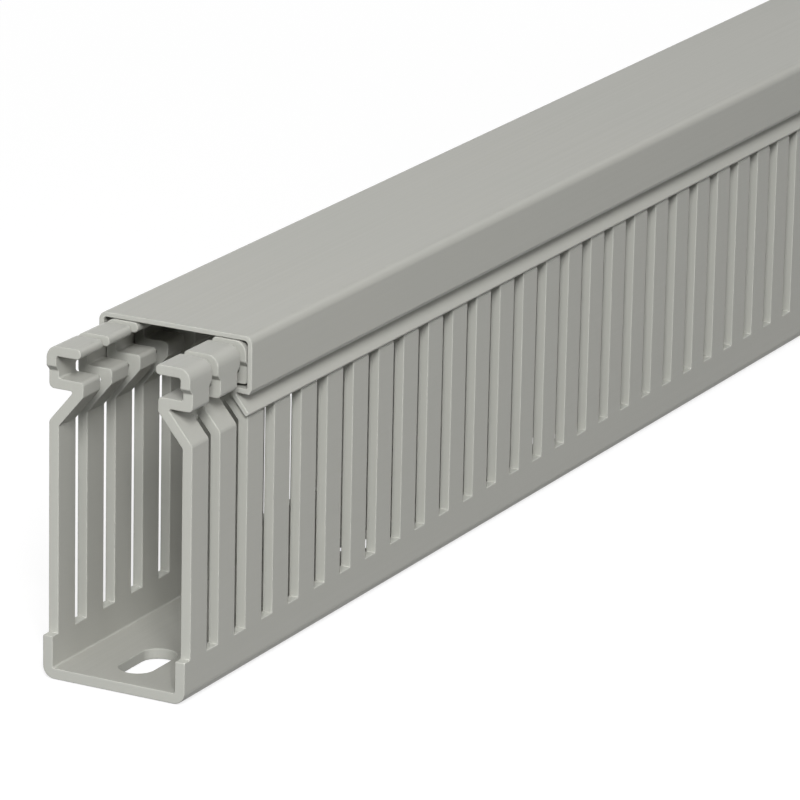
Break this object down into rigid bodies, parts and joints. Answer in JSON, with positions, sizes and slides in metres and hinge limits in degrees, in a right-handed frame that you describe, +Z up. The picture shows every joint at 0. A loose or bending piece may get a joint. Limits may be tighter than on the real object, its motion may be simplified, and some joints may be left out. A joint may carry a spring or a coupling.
{
  "type": "slotted wire duct",
  "caption": "Rectangular plastic wiring duct with slotted finger walls, oblong fixing holes in its floor and a clip-over cover that slides lengthwise.",
  "frame": {"origin": "middle of the floor's underside, halfway along the channel", "axes": "+Z up out of the open side, +Y along the duct away from the end where the cover is slid back, X across the width"},
  "size_m": [0.04, 1.0265, 0.08],
  "materials": {
    "duct_body": "extruded hard PVC, stone grey, fine satin surface",
    "cover": "extruded hard PVC, stone grey, fine satin surface"
  },
  "bodies": {
    "duct": {"duct_body": "duct_body"},
    "cover": {"cover": "cover"}
  },
  "joints": [
    {"name": "cover_slide", "type": "slide", "parent": "duct", "child": "cover", "axis": [0, 1, 0], "range_m": [-0.0265, 0.92]}
  ]
}
